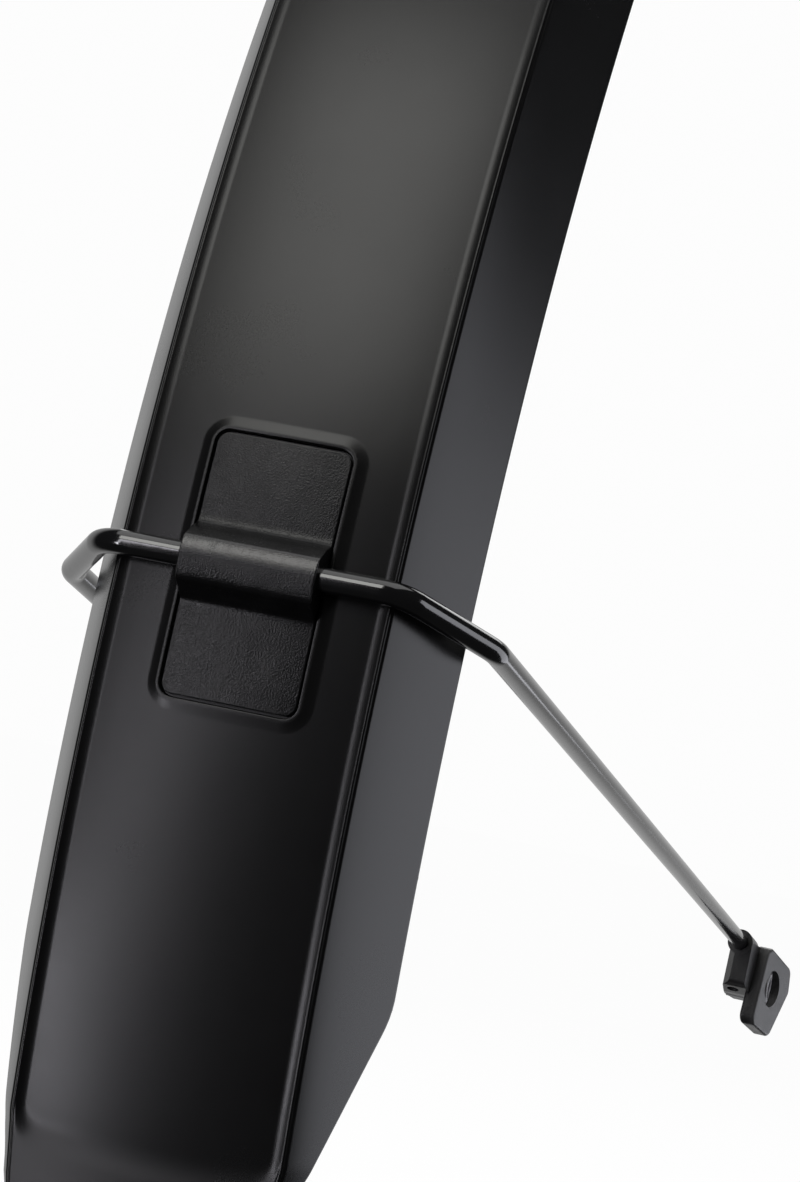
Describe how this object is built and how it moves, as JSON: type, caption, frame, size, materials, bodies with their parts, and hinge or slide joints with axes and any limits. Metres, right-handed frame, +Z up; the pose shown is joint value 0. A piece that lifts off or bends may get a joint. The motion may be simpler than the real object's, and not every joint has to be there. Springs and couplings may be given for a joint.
{
  "type": "bicycle mudguard",
  "caption": "Front bicycle mudguard: curved channel blade with a sunk panel, a round-wire U-stay under a moulded clip, eyelet end blocks and a crown bracket.",
  "frame": {"origin": "centre of the crown bracket's bolt hole, with the guard as it sits on the bicycle", "axes": "+X forward, +Y to the left, +Z up; the wheel plane is Y = 0 and the wheel axle lies at X 124.0 mm, Z -367.6 mm"},
  "size_m": [0.4947, 0.116, 0.4534],
  "materials": {
    "blade": "satin moulded black plastic",
    "clip": "fine-grained black moulding",
    "wire": "gloss black coated steel wire",
    "stay_end": "black moulded plastic",
    "bush": "plain steel",
    "clamp_screw": "black oxide steel",
    "push_nut": "spring steel, phosphated",
    "bracket": "black coated steel strap",
    "rivet": "plain aluminium",
    "rivet_washer": "zinc-plated steel"
  },
  "bodies": {
    "guard": {"guard_blade": "blade", "stay_clip": "clip", "clip_push_nuts": "push_nut", "crown_bracket": "bracket", "crown_rivets": "rivet", "crown_rivet_washers": "rivet_washer"},
    "stay": {"u_stay": "wire", "left_stay_end": "stay_end", "right_stay_end": "stay_end", "eyelet_bushes": "bush", "stay_clamp_screws": "clamp_screw"}
  },
  "joints": [
    {"name": "stay_swing", "type": "hinge", "parent": "guard", "child": "stay", "pos_m": [-0.2424, 0, -0.33555], "axis": [0, 1, 0], "range_deg": [-62, 35]}
  ]
}
